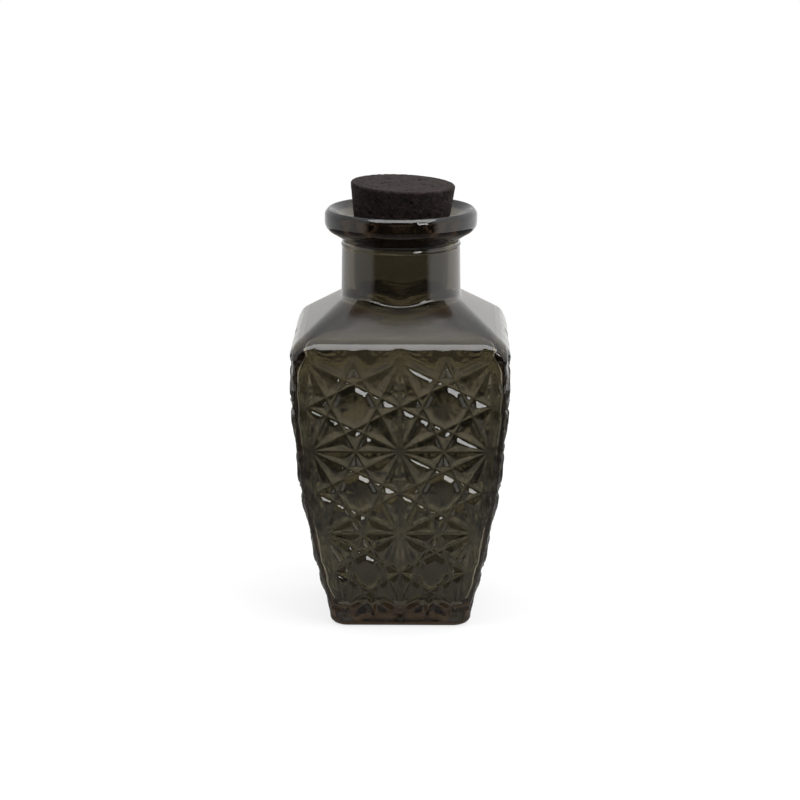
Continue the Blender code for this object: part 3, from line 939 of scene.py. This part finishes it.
def cork_material():
    """Dark agglomerated cork, whose flecks are also a little rough."""
    material = bpy.data.materials.new("dark_cork")
    tree = Tree(material)
    place = tree.coordinates("Object")
    grains = tree.add("ShaderNodeTexVoronoi", {"Vector": place, "Scale": GRAIN_SCALE})
    flecks = tree.add("ShaderNodeTexNoise", {
        "Vector": place, "Scale": FLECK_SCALE, "Detail": FLECK_DETAIL})
    color = tree.multiply_colors(tree.ramp(grains.outputs["Color"], GRAIN_STOPS),
                                 tree.ramp(flecks.outputs["Fac"], FLECK_STOPS))
    rough = tree.add("ShaderNodeBump", {
        "Height": flecks.outputs["Fac"], "Distance": FLECK_DEPTH, "Strength": FLECK_STRENGTH})
    tree.fill(tree.nodes["Principled BSDF"], {
        "Base Color": color, "Roughness": CORK_ROUGHNESS,
        "Specular IOR Level": CORK_SPECULAR, "Normal": rough.outputs["Normal"]})
    return material


def floor_material():
    """White to the camera, with painted shade in reflections, and painted rings of glow and shade
    that show only through the glass.
    """
    material = bpy.data.materials.new("pale_floor")
    tree = Tree(material)
    tree.nodes.remove(tree.nodes["Principled BSDF"])
    path = tree.add("ShaderNodeLightPath", {}).outputs
    white = tree.mix_shaders(FLOOR_LIT_SHARE, tree.diffuse(FLOOR_COLOR), tree.emission(1.0))
    length = tree.add("ShaderNodeVectorMath", {0: tree.coordinates("Object")})
    length.operation = "LENGTH"
    reach = length.outputs["Value"]
    # Painted shade: the floor's colour in reflections, darker farther from the bottle
    dim = tree.diffuse(tree.map_range(reach, FLOOR_PAINTED_SHADE_REACH, FLOOR_PAINTED_SHADE_TONES))
    # Painted light and shade: the floor glows in these rings, seen only through the glass
    rings = [(distance, grey(tone)) for distance, tone in FLOOR_PAINTED_GLOW_TONES]
    painted_glow = tree.emission(tree.ramp(reach, rings))
    unseen = tree.mix_shaders(path["Is Transmission Ray"], dim, painted_glow)
    seen = tree.mix_shaders(path["Is Camera Ray"], unseen, white)
    tree.fill(tree.nodes["Material Output"], {"Surface": seen})
    return material


# Studio

def add_floor():
    bm = bmesh.new()
    bmesh.ops.create_circle(bm, cap_ends=True, segments=FLOOR_STEPS, radius=FLOOR_RADIUS)
    new_object(bm, "floor", floor_material())


def studio_light(tree, direction):
    """How bright the studio is in a direction, as it lights the bottle and shows on it."""
    azimuth = tree.math("ARCTAN2", direction["X"], tree.math("MULTIPLY", direction["Y"], -1.0))
    front = tree.window(azimuth, *FRONT_AZIMUTHS, FRONT_SOFT)
    low = tree.map_range(direction["Z"],
                         (FRONT_TOP + FRONT_TOP_SOFT / 2, FRONT_TOP - FRONT_TOP_SOFT / 2))
    dark = tree.math("MULTIPLY", tree.math("MULTIPLY", front, low), FRONT_DARK_SHARE)
    walls = tree.map_range(direction["X"], WALLS_REACH, WALLS_LEVELS, "LINEAR")
    ceiling = tree.map_range(direction["Z"], CEILING_REACH, CEILING_LEVELS, "LINEAR")
    return tree.math("MULTIPLY", tree.math("ADD", walls, ceiling),
                     tree.math("SUBTRACT", 1.0, dark))


def add_world():
    """A studio whose backdrop is white to the camera, and white near the horizon in the glass."""
    world = bpy.data.worlds.new("studio")
    bpy.context.scene.world = world
    tree = Tree(world)
    tree.nodes.clear()
    direction = tree.parts(tree.coordinates("Generated"))
    path = tree.add("ShaderNodeLightPath", {}).outputs
    seen = tree.math("MAXIMUM", path["Is Camera Ray"], path["Is Transmission Ray"])
    # The ramp takes values from 0 straight down to 1 straight up
    rise = tree.math("MULTIPLY_ADD", direction["Z"], 1 / 2, 1 / 2)
    stops = [((math.sin(math.radians(elevation)) + 1) / 2, grey(tone))
             for elevation, tone in BACKDROP_TONES]
    backdrop = tree.math("MAXIMUM", path["Is Camera Ray"], tree.ramp(rise, stops))
    strength = tree.mix(seen, studio_light(tree, direction), backdrop)
    shader = tree.add("ShaderNodeBackground", {"Color": WHITE, "Strength": strength})
    tree.add("ShaderNodeOutputWorld", {"Surface": shader.outputs["Background"]})


def add_softbox(name, azimuth, elevation, width, height, level):
    """A rectangular lamp that faces the bottle; level is how bright its face is."""
    light = bpy.data.lights.new(name, "AREA")
    light.shape = "RECTANGLE"
    light.size, light.size_y = width, height
    light.energy = level * math.pi * width * height
    lamp = bpy.data.objects.new(name, light)
    azimuth, elevation = math.radians(azimuth), math.radians(elevation)
    away = Vector((math.sin(azimuth) * math.cos(elevation),
                   -math.cos(azimuth) * math.cos(elevation), math.sin(elevation)))
    lamp.location = LAMP_AIM + away * LAMP_DISTANCE
    lamp.rotation_euler = away.to_track_quat("Z", "Y").to_euler()
    lamp.visible_camera = False
    lamp.visible_transmission = False
    bpy.context.scene.collection.objects.link(lamp)


def add_camera():
    camera = bpy.data.cameras.new("camera")
    camera.lens = CAMERA_LENS
    camera.sensor_width = SENSOR
    item = bpy.data.objects.new("camera", camera)
    side = Vector((math.cos(CAMERA_AZIMUTH), math.sin(CAMERA_AZIMUTH), 0))
    away = Vector((math.sin(CAMERA_AZIMUTH), -math.cos(CAMERA_AZIMUTH), 0))
    item.location = away * CAMERA_DISTANCE + side * CAMERA_ASIDE + Vector((0, 0, CAMERA_HEIGHT))
    item.rotation_euler = (math.pi / 2 - CAMERA_PITCH, 0, CAMERA_AZIMUTH)
    bpy.context.scene.collection.objects.link(item)
    bpy.context.scene.camera = item


add_camera()
add_world()
add_floor()
for lamp_name, lamp_values in LAMPS.items():
    add_softbox(lamp_name, *lamp_values)

bottle = new_object(bottle_mesh(), "pressed_glass_bottle", glass_material())
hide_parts("glass_bottle")
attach(bottle, "bottle")

cork = new_object(cork_mesh(), "tapered_cork", cork_material())
axis = Vector(frame["joints"][0]["axis"])
cork.location = (0, 0, SEAT_HEIGHT)
cork.rotation_euler = axis.to_track_quat("Z", "Y").to_euler()
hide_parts("cork_stopper")
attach(cork, "stopper")

bpy.context.scene.view_settings.view_transform = "Standard"
